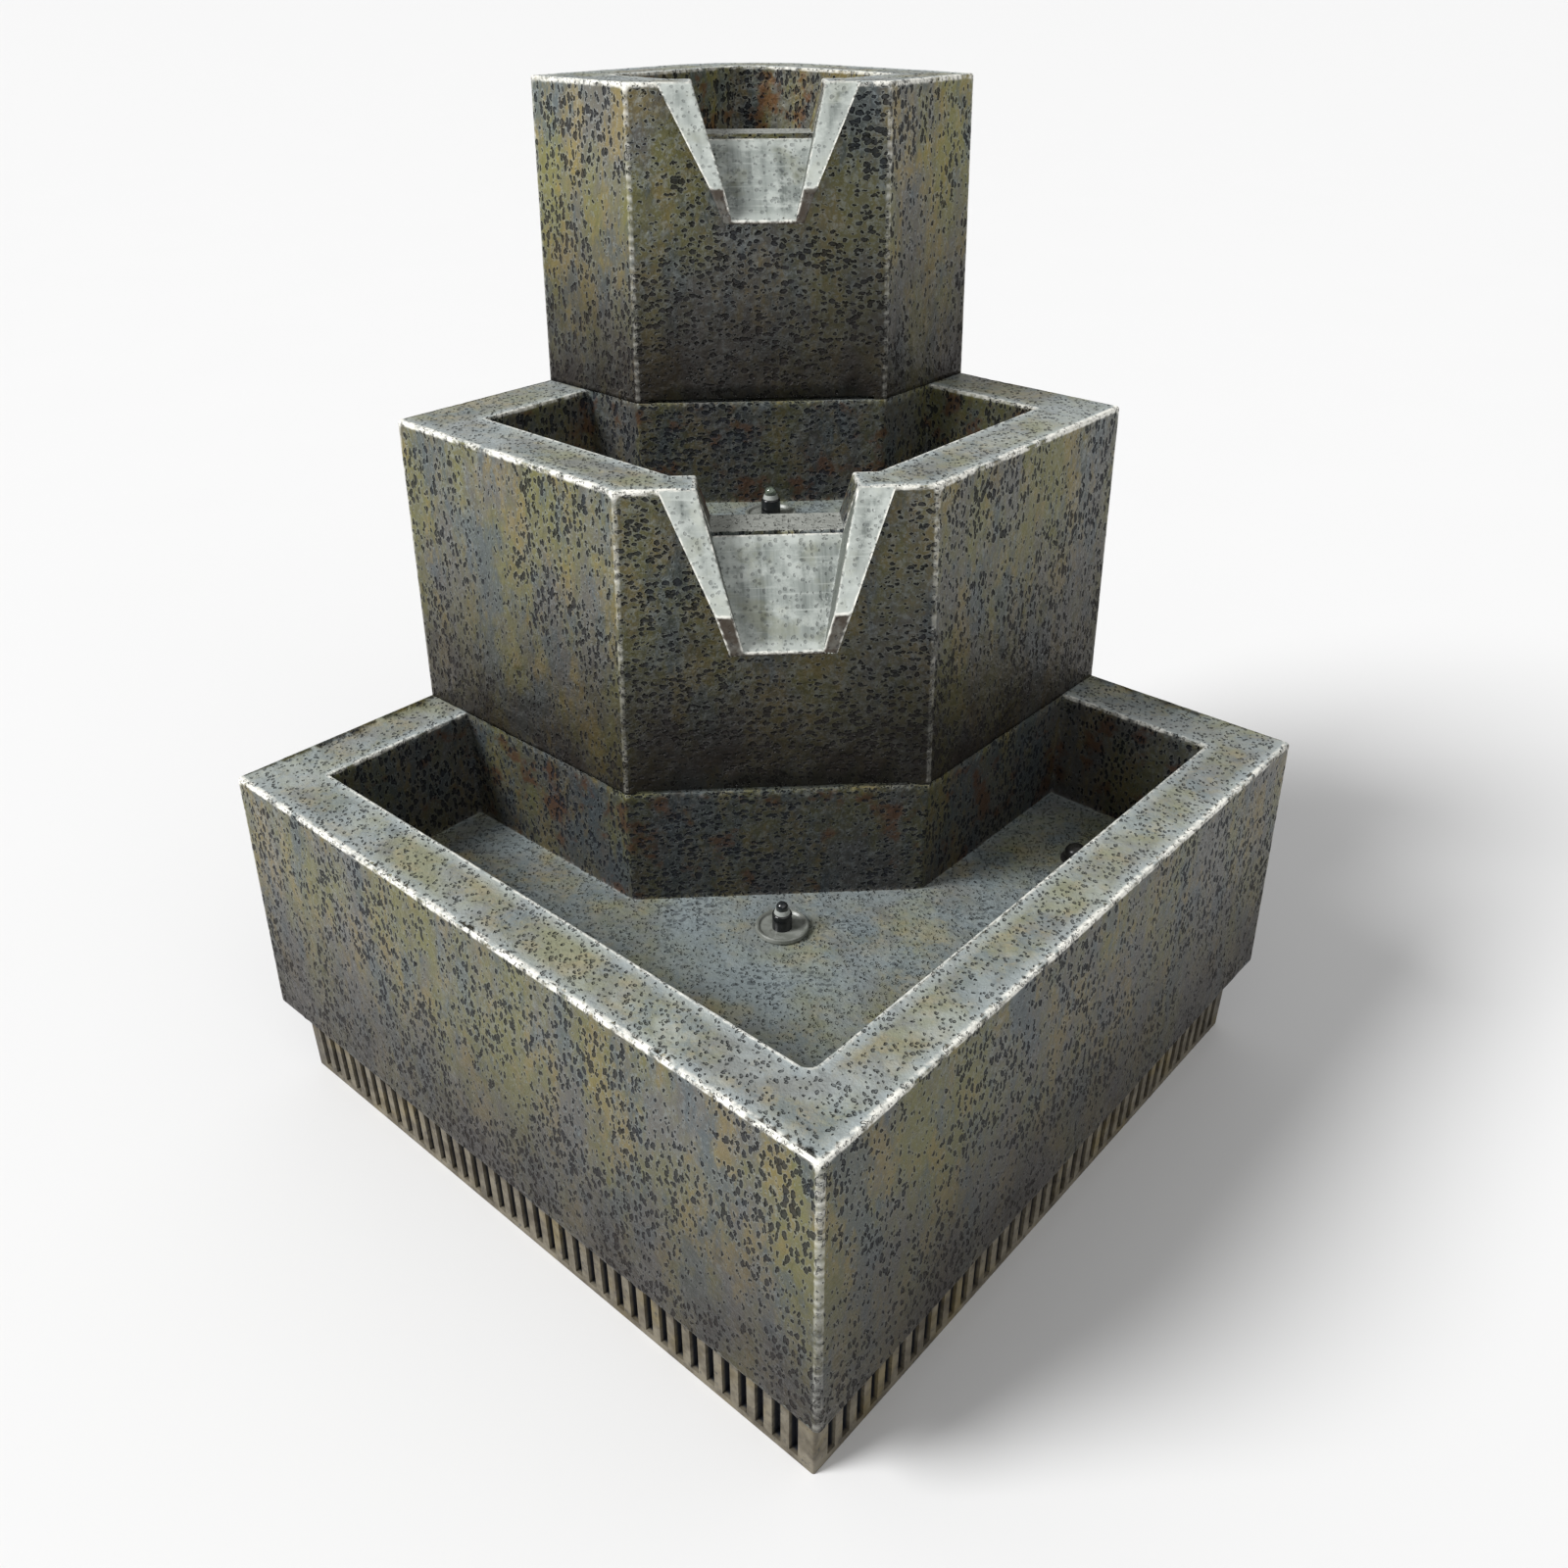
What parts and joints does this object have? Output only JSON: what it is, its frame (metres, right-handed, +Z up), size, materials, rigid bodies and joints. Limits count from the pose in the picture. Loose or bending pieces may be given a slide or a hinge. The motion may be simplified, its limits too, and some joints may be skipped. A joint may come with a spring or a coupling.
{
  "type": "tiered corner water fountain",
  "caption": "Three-tier corner water fountain: square hammered basins with spouts, a fluted plinth, underwater lamps and a recirculating pump.",
  "frame": {"origin": "on the floor, under the centre of the bounding box", "axes": "+Z up, -Y towards the front corner and the spouts, +X to the right seen from the front"},
  "size_m": [1.088, 1.0404, 0.972],
  "materials": {
    "plinth_casting": "matte, weathered ochre grey over dark flutes",
    "tier_casting": "matte aged bronze and verdigris over hammered pitting",
    "spout_casting": "satin pewter with vertical streaks",
    "lamp_saucer": "translucent, satin",
    "lamp_can": "glossy black",
    "lamp_frost": "frosted",
    "lamp_glass": "clear, domed",
    "black_fittings": "moulded, matte",
    "strainer_plastic": "moulded, matte",
    "rubber": "soft, matte",
    "pipe": "grey pressure pipe",
    "pump_case": "fine grained black",
    "pump_moving": "moulded, blue",
    "steel": "stainless",
    "brass": "turned"
  },
  "bodies": {
    "root": {"fluted_plinth": "plinth_casting", "lower_basin": "tier_casting", "lower_lamp_flange": "lamp_saucer", "lower_lamp_body": "lamp_can", "lower_lamp_collar": "lamp_frost", "lower_lamp_lens": "lamp_glass", "lower_lamp_nut": "black_fittings", "drain_seat": "black_fittings", "drain_nut": "black_fittings", "return_gasket": "rubber", "return_fitting": "black_fittings", "return_nut": "black_fittings", "return_elbow": "black_fittings", "return_pipe": "pipe", "riser_adapter": "black_fittings", "riser_pipe": "pipe", "pump_motor": "pump_case", "pump_volute": "pump_case", "pump_screws": "steel", "pump_shaft": "steel", "pump_grille": "pump_case", "pump_feet": "rubber"},
    "middle": {"middle_tier": "tier_casting", "middle_spout": "spout_casting", "middle_lamp_flange": "lamp_saucer", "middle_lamp_body": "lamp_can", "middle_lamp_collar": "lamp_frost", "middle_lamp_lens": "lamp_glass", "middle_lamp_nut": "black_fittings", "riser_grommet": "rubber", "cover_inserts": "brass"},
    "top": {"top_bowl": "tier_casting", "top_spout": "spout_casting", "bowl_gasket": "rubber", "bowl_inlet": "black_fittings", "bowl_nut": "black_fittings", "outlet_cap": "strainer_plastic"},
    "rear_cover": {"rear_cover": "tier_casting", "rear_gasket": "rubber", "cover_screws": "steel", "cable_gland": "rubber"},
    "drain_plug": {"drain_plug": "rubber"},
    "return_strainer": {"return_strainer": "strainer_plastic"},
    "pump_impeller": {"pump_impeller": "pump_moving"},
    "flow_dial": {"flow_dial": "pump_moving"}
  },
  "joints": [
    {"name": "middle_lift", "type": "slide", "parent": "root", "child": "middle", "axis": [0, 0, 1], "range_m": [0, 0.3]},
    {"name": "top_lift", "type": "slide", "parent": "middle", "child": "top", "axis": [0, 0, 1], "range_m": [0, 0.25]},
    {"name": "cover_pull", "type": "slide", "parent": "middle", "child": "rear_cover", "axis": [0.7071, 0.7071, 0], "range_m": [0, 0.08]},
    {"name": "plug_pull", "type": "slide", "parent": "root", "child": "drain_plug", "axis": [0, 0, 1], "range_m": [0, 0.04]},
    {"name": "strainer_lift", "type": "slide", "parent": "root", "child": "return_strainer", "axis": [0, 0, 1], "range_m": [0, 0.04]},
    {"name": "impeller_spin", "type": "hinge", "parent": "root", "child": "pump_impeller", "pos_m": [0, 0.36991, 0.206], "axis": [0, -1, 0], "continuous": true},
    {"name": "flow_turn", "type": "hinge", "parent": "root", "child": "flow_dial", "pos_m": [0, 0.42791, 0.206], "axis": [0, 1, 0], "range_deg": [0, 90]}
  ]
}
